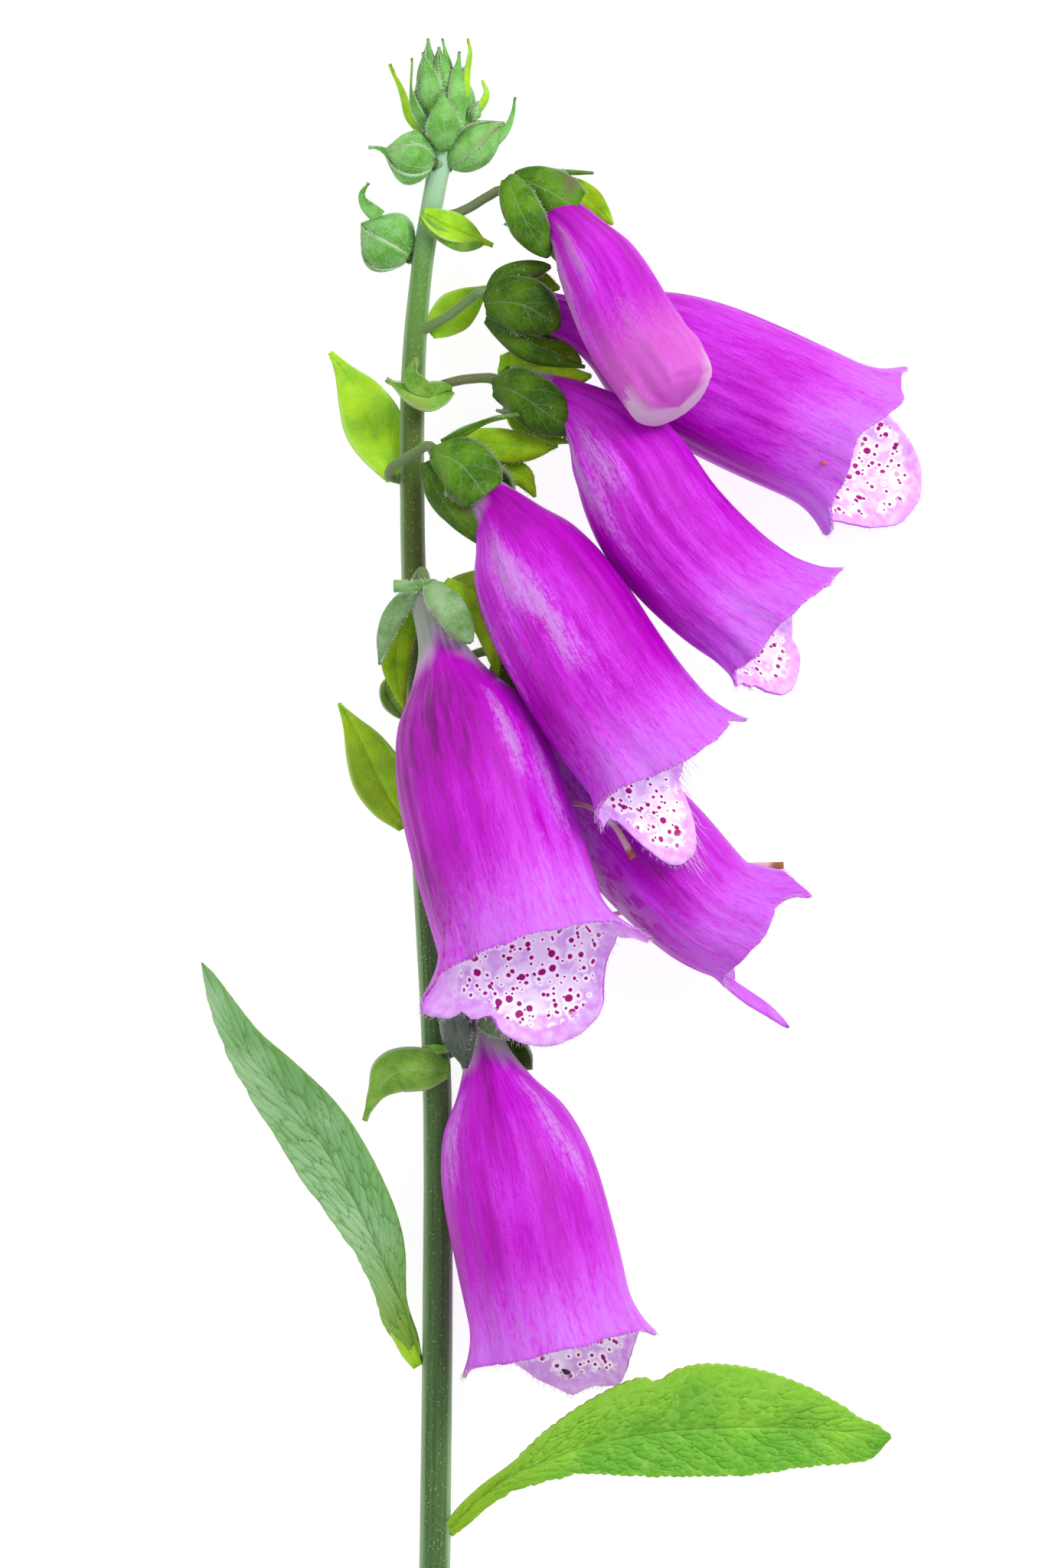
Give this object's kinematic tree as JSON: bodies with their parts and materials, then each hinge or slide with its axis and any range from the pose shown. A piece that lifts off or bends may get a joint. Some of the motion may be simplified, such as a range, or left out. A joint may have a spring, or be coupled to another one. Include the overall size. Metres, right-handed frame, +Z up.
{
  "type": "foxglove flower spike",
  "caption": "Cut foxglove spike lying down: leafy stem, spotted purple bell flowers hanging to one side, spent calyces and a tip of green buds.",
  "frame": {"origin": "middle of the underside of the whole plant's box, on the surface that the plant lies on", "axes": "+Y along the stem from its cut foot to its budding tip, +X to the side that the flowers hang to, +Z up from the surface"},
  "size_m": [0.081, 0.1762, 0.034],
  "materials": {
    "stem green": "living plant tissue, downy, satin",
    "sepal green": "living plant tissue, downy, satin",
    "bract green": "living plant tissue, thin and see-through, satin",
    "leaf green": "living plant tissue, net-veined, satin",
    "corolla purple": "soft petal, spotted white lip inside, silky",
    "stamen cream": "soft plant tissue, matt"
  },
  "bodies": {
    "root": {"bract_1": "bract green", "bract_2": "bract green", "bract_3": "bract green", "bract_4": "bract green", "bract_5": "bract green", "bract_6": "bract green", "bract_7": "bract green", "bract_spent_1": "bract green", "bract_spent_2": "bract green", "bud_1": "sepal green", "bud_2": "sepal green", "bud_3": "sepal green", "bud_crown": "sepal green", "calyx_1": "sepal green", "calyx_2": "sepal green", "calyx_3": "sepal green", "calyx_4": "sepal green", "calyx_5": "sepal green", "calyx_6": "sepal green", "calyx_7": "sepal green", "calyx_spent_1": "sepal green", "calyx_spent_2": "sepal green", "corolla_1": "corolla purple", "corolla_2": "corolla purple", "corolla_3": "corolla purple", "corolla_4": "corolla purple", "corolla_5": "corolla purple", "corolla_6": "corolla purple", "corolla_7": "corolla purple", "leaf_left": "leaf green", "leaf_right": "leaf green", "pistil_1": "stamen cream", "pistil_2": "stamen cream", "stamens_1": "stamen cream", "stamens_2": "stamen cream", "stamens_3": "stamen cream", "stamens_4": "stamen cream", "stamens_5": "stamen cream", "stamens_6": "stamen cream", "stem": "stem green"}
  },
  "joints": []
}
